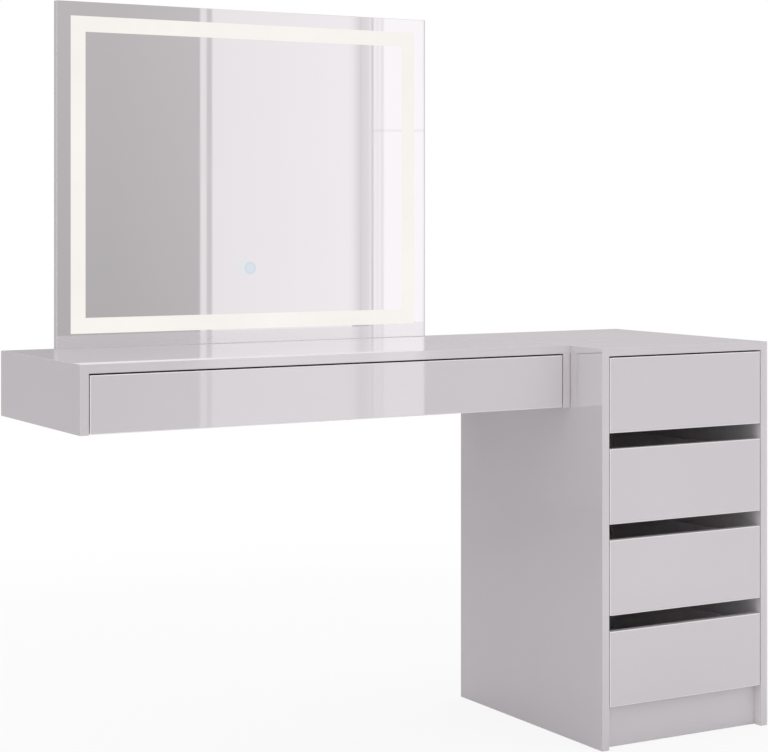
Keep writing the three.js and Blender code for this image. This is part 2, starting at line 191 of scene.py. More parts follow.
# The chest's carcass: chipboard 16 mm thick under high-gloss lacquer, with pale foil inside, its
# edges closed with a band a millimetre thick that meets the face in a hairline. The sides stand
# on the floor, the top lies over them, and a groove in all three takes the back panel.
def finish(name, light, dark, coarse, roughness, fine, relief, **fixed):
    """A coat whose colour drifts over coarse patches, with wiped sheen and fine relief."""
    made = bpy.data.materials.new(name)
    made.use_nodes = True
    tree = made.node_tree
    shader = tree.nodes["Principled BSDF"]
    spot = add_node(tree, "TexCoord").outputs["Object"]
    cloud = add_node(tree, "TexNoise", {"Vector": spot, "Scale": coarse, "Detail": 4})
    wiped = add_node(tree, "TexNoise", {"Vector": spot, "Scale": 2.7 * coarse, "Detail": 3,
                                        "Distortion": 0.4})
    grain = add_node(tree, "TexNoise", {"Vector": spot, "Scale": fine, "Detail": 2})
    share = between(tree, cloud.outputs["Fac"], 0.3, 0.7, 0, 1)
    sheen = between(tree, wiped.outputs["Fac"], 0.3, 0.7, *roughness)
    bump = add_node(tree, "Bump", {"Strength": 1, "Distance": relief,
                                   "Height": grain.outputs["Fac"]})
    tree.links.new(mix_colour(tree, share, (*dark, 1), (*light, 1)), shader.inputs["Base Color"])
    tree.links.new(sheen, shader.inputs["Roughness"])
    tree.links.new(bump.outputs["Normal"], shader.inputs["Normal"])
    for socket, value in fixed.items():
        shader.inputs[socket.replace("_", " ")].default_value = value
    return made


def new_block(name, low, high):
    """A block between two corners, the start of a board or of a cutter."""
    low, high = Vector(low), Vector(high)
    bpy.ops.object.select_all(action="DESELECT")
    bpy.ops.mesh.primitive_cube_add(size=1, location=(low + high) / 2, scale=high - low)
    block = bpy.context.object
    block.name = name
    bpy.ops.object.transform_apply(location=True, rotation=True, scale=True)
    return block


def choose(kind, test):
    """Selects those faces, edges or corners of the piece in edit mode that pass a test."""
    bpy.ops.mesh.select_mode(type=kind)
    bpy.ops.mesh.select_all(action="DESELECT")
    shape = bmesh.from_edit_mesh(bpy.context.object.data)
    for element in {"FACE": shape.faces, "EDGE": shape.edges, "VERT": shape.verts}[kind]:
        if test(element):
            element.select_set(True)
    bmesh.update_edit_mesh(bpy.context.object.data)


def use_modifier(piece, kind, **settings):
    """Adds one modifier to a piece and applies it."""
    bpy.ops.object.select_all(action="DESELECT")
    piece.select_set(True)
    bpy.context.view_layer.objects.active = piece
    bpy.ops.object.modifier_add(type=kind)
    modifier = piece.modifiers[-1]
    for setting, value in settings.items():
        setattr(modifier, setting, value)
    bpy.ops.object.modifier_apply(modifier=modifier.name)


def cut_away(piece, cutter):
    """Takes a cutter's shape out of a piece, and the cutter away."""
    use_modifier(piece, "BOOLEAN", object=cutter, solver="MANIFOLD")
    bpy.data.objects.remove(cutter)


def smooth_over(piece, limit=40):
    """Shades the rounded edges smooth and keeps the flat faces flat."""
    bpy.ops.object.select_all(action="DESELECT")
    piece.select_set(True)
    bpy.context.view_layer.objects.active = piece
    bpy.ops.object.shade_smooth_by_angle(angle=math.radians(limit))
    use_modifier(piece, "WEIGHTED_NORMAL", keep_sharp=True)


def saw_board(name, low, high, arris, band, grooves=(), sawn=()):
    """A board with rounded edges and the hairline of its edge band, and its grooves cut. Where
    another board meets it, at a place given with its axis, it is sawn off without either."""
    low, high = Vector(low), Vector(high)
    size = high - low
    thin = min(range(3), key=lambda axis: size[axis])
    for axis, place in sawn:
        end = high if 2 * place > low[axis] + high[axis] else low
        end[axis] += 2 * band if end is high else -2 * band
    board = new_block(name, low, high)
    bpy.ops.object.mode_set(mode="EDIT")
    bpy.ops.mesh.bevel(offset=arris, segments=3, profile=0.5, affect="EDGES")
    choose("FACE", lambda face: abs(face.normal[thin]) > 0.99)
    hairline = 0.05 * mm
    bpy.ops.mesh.inset(thickness=band - arris, depth=0)
    bpy.ops.mesh.inset(thickness=hairline, depth=-hairline)
    bpy.ops.mesh.inset(thickness=hairline, depth=hairline)
    for axis, place in sawn:
        bpy.ops.mesh.select_all(action="SELECT")
        outward = Vector((0, 0, 0))
        outward[axis] = 1 if 2 * place > low[axis] + high[axis] else -1
        bpy.ops.mesh.bisect(plane_co=place * outward * outward[axis], plane_no=outward,
                            use_fill=True, clear_outer=True)
    bpy.ops.object.mode_set(mode="OBJECT")
    for groove_low, groove_high in grooves:
        cut_away(board, new_block("cutter", groove_low, groove_high))
    smooth_over(board)
    return board


def lay_on(piece, *finishes):
    """Gives a piece its finishes, the first of them all over."""
    piece.data.materials.clear()
    for coat in finishes:
        piece.data.materials.append(coat)
    for face in piece.data.polygons:
        face.material_index = 0


def lacquer_board(board, finishes, rounding):
    """Gives a board's faces, banded edges, rounded edges and cuts their own finishes."""
    lay_on(board, *finishes, raw_board)
    low = Vector(map(min, zip(*(point.co for point in board.data.vertices))))
    high = Vector(map(max, zip(*(point.co for point in board.data.vertices))))
    size = high - low
    thin = min(range(3), key=lambda axis: size[axis])
    for face in board.data.polygons:
        steepest = max(range(3), key=lambda axis: abs(face.normal[axis]))
        depths = [min(face.center[axis] - low[axis], high[axis] - face.center[axis])
                  for axis in range(3)]
        inset = min(depths[axis] for axis in range(3) if axis != thin)
        if min(depths) > 0.7 * mm:
            face.material_index = 3
        elif abs(face.normal[steepest]) < 0.98 and inset < rounding:
            face.material_index = 2
        elif steepest == thin and inset > rounding + 0.2 * mm:
            face.material_index = 0
        else:
            face.material_index = 1


def join_to(piece, body, slot, *nodes):
    """Lets a piece ride on a body, and hides the solids that it stands for. Its slot is not used."""
    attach(piece, body)
    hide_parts(*nodes)
    return piece


def grown(node, x=0.0, y=0.0, z=0.0):
    """The corners of a solid with some room left round it."""
    low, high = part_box(node)
    return low - Vector((x, y, z)), high + Vector((x, y, z))


mm = 0.001
board_arris = 0.5 * mm
edge_band = 1 * mm
slack = 0.3 * mm
lacquer_ior = 3.2
raw_board = finish("raw_chipboard", (0.62, 0.5, 0.36), (0.42, 0.32, 0.21), 320, (0.7, 0.9), 900, 6e-5)
gloss = [
    finish("gloss_face", (0.715, 0.674, 0.7), (0.695, 0.656, 0.682), 4, (0.006, 0.014), 240,
           1.5e-6, IOR=lacquer_ior),
    finish("gloss_edge_band", (0.725, 0.683, 0.71), (0.695, 0.656, 0.682), 9, (0.04, 0.08), 420,
           2e-6, IOR=lacquer_ior),
    finish("gloss_rubbed_arris", (0.79, 0.75, 0.775), (0.74, 0.7, 0.725), 35, (0.1, 0.22), 700,
           4e-6, IOR=lacquer_ior),
]
side_gloss = [finish("gloss_side_face", (0.715, 0.674, 0.7), (0.695, 0.656, 0.682), 4, (0.04, 0.06),
                     240, 1.5e-6, IOR=lacquer_ior)] + gloss[1:]
pale_foil = finish("pale_foil_face", (0.86, 0.83, 0.85), (0.82, 0.79, 0.81), 60, (0.42, 0.55), 900,
                   2e-5)
panel_groove = grown("chest_back_panel", slack, slack, slack)
for node in ("chest_side_left", "chest_side_right", "chest_top"):
    low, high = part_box(node)
    if node != "chest_top":
        high.z += slack
    meets_top = low.z if node == "chest_top" else high.z
    board = saw_board(node + "_board", low, high, board_arris, edge_band, [panel_groove],
                      [(2, meets_top)])
    lacquer_board(board, gloss if node == "chest_top" else side_gloss, edge_band)
    board.data.materials.append(pale_foil)
    inwards = Vector({"chest_side_left": (1, 0, 0), "chest_side_right": (-1, 0, 0)}.get(node, (0, 0, -1)))
    for face in board.data.polygons:
        if face.material_index == 0 and face.normal.dot(inwards) > 0.98:
            face.material_index = 4
    join_to(board, "cabinet", "gloss_board", node)

# The chest's bottom and its plinth, of the same board. The plinth stands back from the fronts
# so that feet find room, and the bottom rests on it.
for node in ("chest_bottom", "chest_plinth"):
    board = saw_board(node + "_board", *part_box(node), board_arris, edge_band)
    lacquer_board(board, gloss, edge_band)
    join_to(board, "cabinet", "gloss_board", node)

# The desk: a top over two shallow sides, with a rail along the wall that carries it. The top
# and the rail are cut out behind for the steel plate that holds the mirror.
chest_clearance = 0.4 * mm
top_reach = 0.35 * mm
plate_recess = grown("mirror_fixing_plate", slack, slack, slack)
for node in ("desk_side_left", "desk_side_right", "desk_top", "desk_rear_rail"):
    recess = [plate_recess] if node in ("desk_top", "desk_rear_rail") else []
    low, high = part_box(node)
    if node != "desk_top":
        high.z += slack
    high.x += {"desk_side_right": -chest_clearance, "desk_top": top_reach}.get(node, 0)
    meets = [(2, low.z), (0, high.x)] if node == "desk_top" else [(2, high.z)]
    board = saw_board(node + "_board", low, high, board_arris, edge_band, recess, meets)
    lacquer_board(board, gloss, edge_band)
    join_to(board, "cabinet", "gloss_board", node)

# Five drawers. Their fronts are lacquered like the carcass and have no handles. The boxes behind
# are of 12 mm board in pale foil, and slits in front and sides hold the hardboard base.
front_arris = 1.4 * mm
front_band = 1.8 * mm
box_arris = 0.5 * mm
box_band = 0.8 * mm
# The fronts' rounded edges are coloured near white, a painted highlight along every arris.
front_gloss = gloss[:2] + [finish("front_arris_painted_highlight", (0.97, 0.95, 0.96), (0.93, 0.91, 0.92),
                                  35, (0.08, 0.16), 700, 3e-6)]
pale_board = [
    pale_foil,
    finish("drawer_board_edge", (0.86, 0.83, 0.85), (0.8, 0.77, 0.79), 60, (0.45, 0.6), 700,
           3e-5),
    finish("drawer_board_arris", (0.84, 0.81, 0.83), (0.76, 0.73, 0.75), 90, (0.4, 0.6), 700,
           2e-5),
]
hardboard = finish("hardboard", (0.86, 0.83, 0.85), (0.8, 0.77, 0.79), 160, (0.5, 0.65), 1400,
                   4e-5)
lay_on(frame["nodes"]["chest_back_panel"], hardboard)
drawers = ["desk_drawer"] + [f"chest_drawer_{number}" for number in range(1, 5)]
for drawer in drawers:
    base_slit = [grown(drawer + "_base", slack, slack, slack)]
    front = saw_board(drawer + "_front_board", *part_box(drawer + "_front"), front_arris,
                      front_band, base_slit)
    lacquer_board(front, front_gloss, front_band)
    join_to(front, drawer, "gloss_board", drawer + "_front")
    for part, slits in (("side_left", base_slit), ("side_right", base_slit), ("rear", [])):
        node = f"{drawer}_{part}"
        board = saw_board(node + "_board", *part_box(node), box_arris, box_band, slits)
        lacquer_board(board, pale_board, box_band)
        join_to(board, drawer, "drawer_board", node)
    lay_on(frame["nodes"][drawer + "_base"], hardboard)

# Roller runners, one pair on each side of a drawer. A rail is a strip of steel sheet 1.2 mm
# thick, folded on a press and coated, with slots for its screws. The cabinet's rail carries a
# nylon roller at its front and the drawer's rail one at its back, each on a riveted pin.
def fold_strip(name, folds, front, back, thickness):
    """Folds a strip of sheet along the line of points given as [across, up]."""
    (x0, z0), (x1, z1) = folds[:2]
    bpy.ops.object.select_all(action="DESELECT")
    bpy.ops.mesh.primitive_plane_add(size=1, location=((x0 + x1) / 2, (front + back) / 2, z0))
    strip = bpy.context.object
    strip.name = name
    strip.scale = (abs(x1 - x0), back - front, 1)
    bpy.ops.object.transform_apply(location=True, rotation=True, scale=True)
    bpy.ops.object.mode_set(mode="EDIT")
    for (x0, z0), (x1, z1) in zip(folds[1:], folds[2:]):
        choose_line([(x0, z0)])
        bpy.ops.mesh.extrude_edges_move(TRANSFORM_OT_translate={"value": (x1 - x0, 0, z1 - z0)})
    choose_line(folds[1:-1])
    bpy.ops.mesh.bevel(offset=fold_radius, segments=3, affect="EDGES")
    bpy.ops.object.mode_set(mode="OBJECT")
    use_modifier(strip, "SOLIDIFY", thickness=thickness, offset=0, use_even_offset=True)
    return strip


def choose_line(places):
    """Selects the strip's edges that run along Y at one of some places across and up."""
    choose("EDGE", lambda edge: any(all(abs(end.co.x - x) + abs(end.co.z - z) < 1e-6
                                        for end in edge.verts) for x, z in places))


def round_bar(name, middle, radius, length, facets, turn=(0, 90, 0)):
    """A round bar centred on a place, along X unless it is turned otherwise."""
    bpy.ops.object.select_all(action="DESELECT")
    bpy.ops.mesh.primitive_cylinder_add(vertices=facets, radius=radius, depth=length,
                                        location=middle,
                                        rotation=[math.radians(angle) for angle in turn])
    bar = bpy.context.object
    bar.name = name
    bpy.ops.object.transform_apply(location=True, rotation=True, scale=True)
    return bar


def slot_cutter(middle):
    """A cutter for a screw slot: a round bar, stretched along the rail."""
    cutter = round_bar("cutter", middle, slot_radius, 4 * sheet, 16)
    bpy.ops.object.mode_set(mode="EDIT")
    for way in (-1, 1):
        choose("VERT", lambda end: way * (end.co.y - middle[1]) > 0.01 * mm)
        bpy.ops.transform.translate(value=(0, way * slot_stretch, 0))
    bpy.ops.object.mode_set(mode="OBJECT")
    return cutter


def turned_roller(name, middle, towards_web, pin_length):
    """A nylon roller with a hub, on a pin that reaches its rail and is riveted at the other end."""
    wheel = round_bar(name, middle, roller_radius, roller_width, 40)
    bpy.ops.object.mode_set(mode="EDIT")
    choose("EDGE", lambda edge: abs(edge.verts[0].co.x - edge.verts[1].co.x) < 1e-7)
    bpy.ops.mesh.bevel(offset=roller_chamfer, segments=2, affect="EDGES")
    choose("FACE", lambda face: abs(face.normal.x) > 0.99)
    bpy.ops.mesh.inset(thickness=2.4 * mm, depth=0)
    bpy.ops.mesh.inset(thickness=0.3 * mm, depth=-hub_depth)
    bpy.ops.mesh.inset(thickness=roller_radius - roller_chamfer - 2.7 * mm - pin_radius, depth=0)
    for way, reach in ((towards_web, pin_length), (-towards_web, rivet_height)):
        choose("FACE", lambda face: way * face.normal.x > 0.99 and pin_end(face, middle))
        bpy.ops.mesh.extrude_region_move(
            TRANSFORM_OT_translate={"value": (way * (reach + hub_depth), 0, 0)})
        if way != towards_web:
            bpy.ops.transform.resize(value=(1, 0.7, 0.7), center_override=middle)
    bpy.ops.object.mode_set(mode="OBJECT")
    smooth_over(wheel)
    lay_on(wheel, nylon, zinc)
    for face in wheel.data.polygons:
        on_pin = math.hypot(face.center.y - middle[1], face.center.z - middle[2]) < pin_radius
        face.material_index = 1 if on_pin else 0
    return wheel


def pin_end(face, middle):
    return all(math.hypot(end.co.y - middle[1], end.co.z - middle[2]) < pin_radius + 0.05 * mm
               for end in face.verts)


def copy_piece(piece, name, shift=(0, 0, 0)):
    """A copy of a piece with its own mesh, set down a distance away."""
    bpy.ops.object.select_all(action="DESELECT")
    piece.select_set(True)
    bpy.context.view_layer.objects.active = piece
    bpy.ops.object.duplicate()
    twin = bpy.context.object
    twin.name = name
    bpy.ops.transform.translate(value=shift)
    bpy.ops.object.transform_apply(location=True, rotation=True, scale=True)
    return twin


def other_hand(piece, name, middle):
    """A copy of a piece for the other side of an opening, turned about the opening's middle."""
    twin = copy_piece(piece, name)
    bpy.ops.transform.resize(value=(-1, 1, 1), center_override=(middle, 0, 0))
    bpy.ops.object.transform_apply(location=True, rotation=True, scale=True)
    bpy.ops.object.mode_set(mode="EDIT")
    bpy.ops.mesh.select_all(action="SELECT")
    bpy.ops.mesh.normals_make_consistent(inside=False)
    bpy.ops.mesh.customdata_custom_splitnormals_clear()
    bpy.ops.object.mode_set(mode="OBJECT")
    smooth_over(twin)
    return twin


def screw_head(name, middle, away):
    """The flat head of a screw along X, domed a little, with a cross for the driver."""
    head = round_bar(name, middle, head_radius, head_height, 20)
    bpy.ops.object.mode_set(mode="EDIT")
    face_x = middle[0] + away * head_height / 2
    choose("EDGE", lambda edge: all(abs(end.co.x - face_x) < 1e-7 for end in edge.verts))
    bpy.ops.mesh.bevel(offset=0.7 * head_height, segments=3, affect="EDGES")
    bpy.ops.object.mode_set(mode="OBJECT")
    for y, z in ((cross_length, cross_width), (cross_width, cross_length)):
        half = Vector((cross_depth, y, z)) / 2
        place = Vector((face_x, middle[1], middle[2]))
        cut_away(head, new_block("cutter", place - half, place + half))
    smooth_over(head)
    lay_on(head, zinc)
    return head


sheet = 1.2 * mm
fold_radius = 1 * mm
slot_radius = 2.2 * mm
slot_stretch = 2.3 * mm
slot_shares = (0.26, 0.55, 0.84)
roller_radius = 8 * mm
roller_width = 5.6 * mm
roller_chamfer = 0.7 * mm
hub_depth = 0.5 * mm
pin_radius = 2.6 * mm
rivet_height = 0.4 * mm
head_radius = 3.3 * mm
head_height = 0.55 * mm
cross_length = 3.2 * mm
cross_width = 0.7 * mm
cross_depth = 0.6 * mm
coated = finish("coated_steel", (0.74, 0.72, 0.71), (0.68, 0.66, 0.65), 25, (0.28, 0.4), 900, 1e-5)
zinc = finish("zinc_plate", (0.72, 0.73, 0.75), (0.55, 0.56, 0.57), 120, (0.2, 0.42), 500, 8e-6,
              Metallic=1)
nylon = finish("roller_nylon", (0.8, 0.79, 0.76), (0.74, 0.73, 0.7), 120, (0.35, 0.5), 600, 1e-5,
               Subsurface_Weight=0.2, Subsurface_Radius=(0.002, 0.002, 0.002))
travel = {joint["child"]: joint["range_m"][1] for joint in frame["joints"]}
pitch = {f"chest_drawer_{n}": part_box(f"chest_drawer_{n}_front")[0].z
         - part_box("chest_drawer_1_front")[0].z for n in range(1, 5)}
for drawer in drawers[:2]:
    outer_low, outer_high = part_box(drawer + "_cabinet_rail_left")
    inner_low, inner_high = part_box(drawer + "_rail_left")
    front, back, base = outer_low.y, outer_high.y, outer_low.z
    across = outer_low.x - slack
    half = sheet / 2
    slots_up = base + 9.05 * mm

    outer_web = across + slack + half
    floor_end = outer_high.x - half
    outer_folds = [(across + 6.8 * mm, base + 20.2 * mm), (outer_web, base + 20.2 * mm),
                   (outer_web, base + half), (floor_end, base + half),
                   (floor_end, base + 3.2 * mm)]
    cabinet_rail = fold_strip(drawer + "_cabinet_rail_left_folded", outer_folds, front, back, sheet)
    stop_back = back - 21 * mm - travel[drawer]
    ridge = new_block("ridge", (inner_low.x, stop_back - 5 * mm, base + half),
                      (inner_low.x + roller_width, stop_back, base + 3.6 * mm))
    bpy.ops.object.mode_set(mode="EDIT")
    choose("EDGE", lambda edge: all(end.co.z > base + 3 * mm for end in edge.verts)
           and abs(edge.verts[0].co.x - edge.verts[1].co.x) > 1 * mm)
    bpy.ops.mesh.bevel(offset=1.6 * mm, segments=3, affect="EDGES")
    bpy.ops.object.mode_set(mode="OBJECT")
    use_modifier(cabinet_rail, "BOOLEAN", object=ridge, solver="MANIFOLD", operation="UNION")
    bpy.data.objects.remove(ridge)

    inner_web = inner_low.x + 9.3 * mm
    inner_folds = [(inner_low.x, base + 18.7 * mm), (inner_web, base + 18.7 * mm),
                   (inner_web, base + 4.1 * mm), (inner_high.x, base + 4.1 * mm)]
    drawer_rail = fold_strip(drawer + "_rail_left_folded", inner_folds, front, back, sheet)

    heads = {}
    for rail, web, away in ((cabinet_rail, outer_web, 1), (drawer_rail, inner_web, -1)):
        heads[rail] = []
        for share in slot_shares:
            along_rail = front + share * (back - front)
            cut_away(rail, slot_cutter((web, along_rail, slots_up)))
            seat = web + away * (half + head_height / 2)
            heads[rail].append(screw_head(rail.name + "_screw", (seat, along_rail, slots_up), away))
        smooth_over(rail)
        lay_on(rail, coated)
        bpy.ops.object.select_all(action="DESELECT")
        for head in heads[rail]:
            head.select_set(True)
        bpy.context.view_layer.objects.active = heads[rail][0]
        bpy.ops.object.join()

    near = inner_low.x + roller_width / 2
    cabinet_roller = turned_roller(drawer + "_cabinet_roller_left",
                                   (near, front + 14 * mm, base + 9.8 * mm), -1, 1 * mm)
    far = inner_web - half - 5.4 * mm
    drawer_roller = turned_roller(drawer + "_roller_left",
                                  (far, back - 12 * mm, base + 9.5 * mm), 1, 2.6 * mm)

    middle = (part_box(drawer + "_front")[0].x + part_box(drawer + "_front")[1].x) / 2
    made = [(cabinet_rail, "_cabinet_rail_{}_folded", "_cabinet_rail_", "coated_steel", "cabinet"),
            (drawer_rail, "_rail_{}_folded", "_rail_", "coated_steel", drawer),
            (heads[cabinet_rail][0], "_cabinet_rail_{}_screws", None, "zinc_steel", "cabinet"),
            (heads[drawer_rail][0], "_rail_{}_screws", None, "zinc_steel", drawer),
            (cabinet_roller, "_cabinet_roller_{}", None, "coated_steel", "cabinet"),
            (drawer_roller, "_roller_{}", None, "coated_steel", drawer)]
    for left_piece, title, node, slot, body in made:
        left_piece.name = drawer + title.format("left")
        pair = {"left": left_piece,
                "right": other_hand(left_piece, drawer + title.format("right"), middle)}
        for hand, piece in pair.items():
            owners = [drawer] if drawer == "desk_drawer" else drawers[1:]
            for owner in owners:
                twin = piece
                if owner != drawer:
                    twin = copy_piece(piece, owner + title.format(hand), (0, 0, pitch[owner]))
                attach(twin, "cabinet" if body == "cabinet" else owner)
                if node:
                    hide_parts(owner + node + hand)

# The mirror's glass, 4 mm thick and silvered behind. A rectangular ring in it is frosted and
# lets out the light of the strip behind, and a small disc low in the middle shows the lamp of
# the touch switch.
def ring_block(name, low, high, inset, width, front, back):
    """A rectangular ring between two depths, an inset away from the border of a sheet."""
    outer = new_block(name, (low.x + inset, front, low.z + inset),
                      (high.x - inset, back, high.z - inset))
    inset += width
    hole = new_block("cutter", (low.x + inset, front - 1 * mm, low.z + inset),
                     (high.x - inset, back + 1 * mm, high.z - inset))
    cut_away(outer, hole)
    return outer


def in_window(face):
    """Whether a face of the glass belongs to its lit ring."""
    x, z = face.center.x, face.center.z
    past = min(x - glass_low.x, glass_high.x - x, z - glass_low.z, glass_high.z - z)
    return abs(face.normal.y) > 0.99 and 0 < past - window_inset < window_width


glass_low, glass_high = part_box("mirror_glass")
sensor_low, sensor_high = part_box("mirror_touch_sensor")
spot = (sensor_low + sensor_high) / 2
window_inset = 27 * mm
window_width = 29.5 * mm
frosting_depth = 0.4 * mm
glass_arris = 0.35 * mm
spot_radius = 12 * mm
spot_depth = 0.05 * mm
spot_rim = 9 * mm
# How far the painted glow of the touch lamp spreads over the silver.
painted_glow_reach = 26 * mm
facing_y = (90, 0, 0)
silver = finish("mirror_silver", (0.93, 0.93, 0.93), (0.92, 0.92, 0.92), 3, (0.006, 0.016), 6,
                6e-6, Metallic=1)
window_glass = finish("mirror_lit_window", (0.06, 0.06, 0.06), (0.04, 0.04, 0.04), 30,
                      (0.45, 0.55), 800, 1.5e-6, Emission_Strength=1)
glass_edge = finish("mirror_glass_edge", (0.8, 0.82, 0.82), (0.74, 0.77, 0.765), 40, (0.08, 0.16),
                    600, 4e-6)
glass_paint = finish("mirror_back_paint", (0.3, 0.31, 0.33), (0.26, 0.27, 0.29), 40, (0.5, 0.6),
                     500, 1e-5)
spot_glass = finish("mirror_touch_spot", (0.06, 0.06, 0.06), (0.04, 0.04, 0.04), 200,
                    (0.2, 0.3), 800, 4e-6, Emission_Strength=1)

tree = window_glass.node_tree
place = add_node(tree, "TexCoord").outputs["Object"]
drift = add_node(tree, "TexNoise", {"Vector": place, "Scale": 5.0, "Detail": 1}).outputs["Fac"]
drift = between(tree, drift, 0.3, 0.7, 0, 1)
tree.links.new(mix_colour(tree, drift, (0.85, 0.815, 0.775, 1), (0.885, 0.855, 0.82, 1)),
               tree.nodes["Principled BSDF"].inputs["Emission Color"])
tree = spot_glass.node_tree
place = add_node(tree, "TexCoord").outputs["Object"]
from_spot = add_node(tree, "VectorMath", {0: place, 1: (spot.x, glass_low.y, spot.z)},
                     operation="DISTANCE").outputs["Value"]
rim = between(tree, from_spot, spot_rim, spot_rim + 1.2 * mm, 0, 1, "SMOOTHSTEP")
tree.links.new(mix_colour(tree, rim, (0.625, 0.69, 0.76, 1), (0.575, 0.63, 0.69, 1)),
               tree.nodes["Principled BSDF"].inputs["Emission Color"])
# Round the touch spot the silver's colour turns pale blue: a painted glow of the switch's lamp, centred a
# little left of the spot and fading out within 26 mm.
tree = silver.node_tree
place = add_node(tree, "TexCoord").outputs["Object"]
from_painted_glow = add_node(tree, "VectorMath", {0: place, 1: (spot.x - spot_radius, glass_low.y, spot.z)},
                     operation="DISTANCE").outputs["Value"]
glow = between(tree, from_painted_glow, spot_radius, painted_glow_reach, 0.6, 0, "SMOOTHSTEP")
painted_glow_socket = tree.nodes["Principled BSDF"].inputs["Base Color"]
tree.links.new(mix_colour(tree, glow, painted_glow_socket.links[0].from_socket, (0.87, 0.95, 0.965, 1)), painted_glow_socket)

glass = new_block("mirror_glass_sheet", glass_low, glass_high)
bpy.ops.object.mode_set(mode="EDIT")
bpy.ops.mesh.bevel(offset=glass_arris, segments=2, profile=0.5, affect="EDGES")
choose("FACE", lambda face: abs(face.normal.y) > 0.99)
bpy.ops.mesh.inset(thickness=glass_arris, depth=0)
choose("FACE", lambda face: face.normal.y < -0.99 and face.calc_area() > 0.1)
bpy.ops.mesh.inset(thickness=window_inset - 2 * glass_arris, depth=0)
bpy.ops.mesh.inset(thickness=window_width, depth=0)
choose("VERT", lambda end: end.co.z < glass_low.z + glass_arris + 0.01 * mm)
bpy.ops.transform.translate(value=(0, 0, -slack))
bpy.ops.object.mode_set(mode="OBJECT")
cut_away(glass, ring_block("cutter", glass_low, glass_high, window_inset, window_width,
                           glass_high.y - frosting_depth, glass_high.y + 1 * mm))
cut_away(glass, round_bar("cutter", (spot.x, glass_low.y, spot.z), spot_radius, 2 * spot_depth,
                          48, facing_y))
smooth_over(glass)
lay_on(glass, silver, window_glass, glass_edge, glass_paint, spot_glass)
for face in glass.data.polygons:
    off_spot = math.hypot(face.center.x - spot.x, face.center.z - spot.z)
    if abs(face.normal.y) < 0.99:
        face.material_index = 2
    elif in_window(face):
        face.material_index = 1
    elif face.normal.y > 0:
        face.material_index = 3
    elif off_spot < 0.1 * spot_radius and face.area < 4 * spot_radius ** 2:
        face.material_index = 4
join_to(glass, "cabinet", "mirror_glass", "mirror_glass")

# The board that carries the glass, lacquered like the carcass. A channel routed in its front
# holds the strip of lamps, and a stepped hole the touch switch.
channel_depth = 7 * mm
backing_low, backing_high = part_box("mirror_backing")
backing = saw_board("mirror_backing_board", backing_low - Vector((0, 0, slack)), backing_high,
                    board_arris, edge_band, [plate_recess])
cut_away(backing, ring_block("cutter", backing_low, backing_high, window_inset, window_width,
                             backing_low.y - 1 * mm, backing_low.y + channel_depth))
flange = (sensor_high.x - sensor_low.x) / 2
flange_thickness = 1.5 * mm
barrel = flange - 3 * mm
for radius, back in ((flange + slack, flange_thickness + slack),
                     (barrel + slack, sensor_high.y - sensor_low.y + slack)):
    back += sensor_low.y
    front = sensor_low.y - 1 * mm
    cut_away(backing, round_bar("cutter", (spot.x, (front + back) / 2, spot.z), radius,
                                back - front, 48, facing_y))
smooth_over(backing)
lacquer_board(backing, gloss, edge_band)
join_to(backing, "cabinet", "gloss_board", "mirror_backing")

# The strip of lamps: a flexible board with a lamp every 17 mm, stuck to the channel's floor all
# the way round.
strip_low, strip_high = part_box("mirror_led_strip")
strip_width = 12 * mm
strip_sheet = 0.6 * mm
lamp_size = 5 * mm
lamp_pitch = 16.67 * mm
strip_board = finish("strip_board", (0.8, 0.8, 0.78), (0.72, 0.71, 0.68), 90, (0.35, 0.5), 900,
                     8e-6)
lamp_case = finish("lamp_case", (0.86, 0.86, 0.85), (0.8, 0.8, 0.79), 300, (0.3, 0.4), 900, 4e-6)
lamp_gel = finish("lamp_gel", (0.9, 0.72, 0.3), (0.85, 0.66, 0.26), 400, (0.12, 0.2), 900, 3e-6,
                  Emission_Color=(1, 0.94, 0.84, 1), Emission_Strength=1)
strip = ring_block("mirror_led_strip_board", strip_low, strip_high, 0, strip_width,
                   strip_high.y - strip_sheet, strip_high.y)
smooth_over(strip)
lay_on(strip, strip_board)
lamp_back = strip_high.y - strip_sheet + 0.05 * mm
first = strip_low + Vector((strip_width / 2, 0, strip_width / 2))
last = strip_high - Vector((strip_width / 2, 0, strip_width / 2))
half = Vector((lamp_size / 2, 0, lamp_size / 2))
rows = []
for start, way, length in ((first, (1, 0, 0), last.x - first.x), (first, (0, 0, 1), 0),
                           (Vector((first.x, 0, last.z)), (1, 0, 0), last.x - first.x),
                           (Vector((last.x, 0, first.z)), (0, 0, 1), 0)):
    length = length or last.z - first.z
    count = int(length / lamp_pitch)
    spare = Vector(way) * (length - (count - 1) * lamp_pitch) / 2
    corner = start + spare
    lamp = new_block("lamps", (corner.x - half.x, strip_low.y, corner.z - half.z),
                     (corner.x + half.x, lamp_back, corner.z + half.z))
    bpy.ops.object.mode_set(mode="EDIT")
    choose("EDGE", lambda edge: all(end.co.y < lamp_back - 0.1 * mm for end in edge.verts))
    bpy.ops.mesh.bevel(offset=0.2 * mm, segments=2, affect="EDGES")
    choose("FACE", lambda face: face.normal.y < -0.99)
    bpy.ops.mesh.inset(thickness=0.5 * mm, depth=0)
    bpy.ops.mesh.inset(thickness=0.2 * mm, depth=-0.2 * mm)
    bpy.ops.object.mode_set(mode="OBJECT")
    smooth_over(lamp)
    lay_on(lamp, strip_board, lamp_case, lamp_gel)
    for face in lamp.data.polygons:
        sunk = face.center.y > strip_low.y + 0.15 * mm and face.normal.y < -0.99
        face.material_index = 2 if sunk else 1
    use_modifier(lamp, "ARRAY", count=count, use_relative_offset=False,
                 use_constant_offset=True, constant_offset_displace=Vector(way) * lamp_pitch)
    rows.append(lamp)
bpy.ops.object.select_all(action="DESELECT")
for piece in [strip] + rows:
    piece.select_set(True)
bpy.context.view_layer.objects.active = strip
bpy.ops.object.join()
join_to(strip, "cabinet", "led_plastic", "mirror_led_strip")

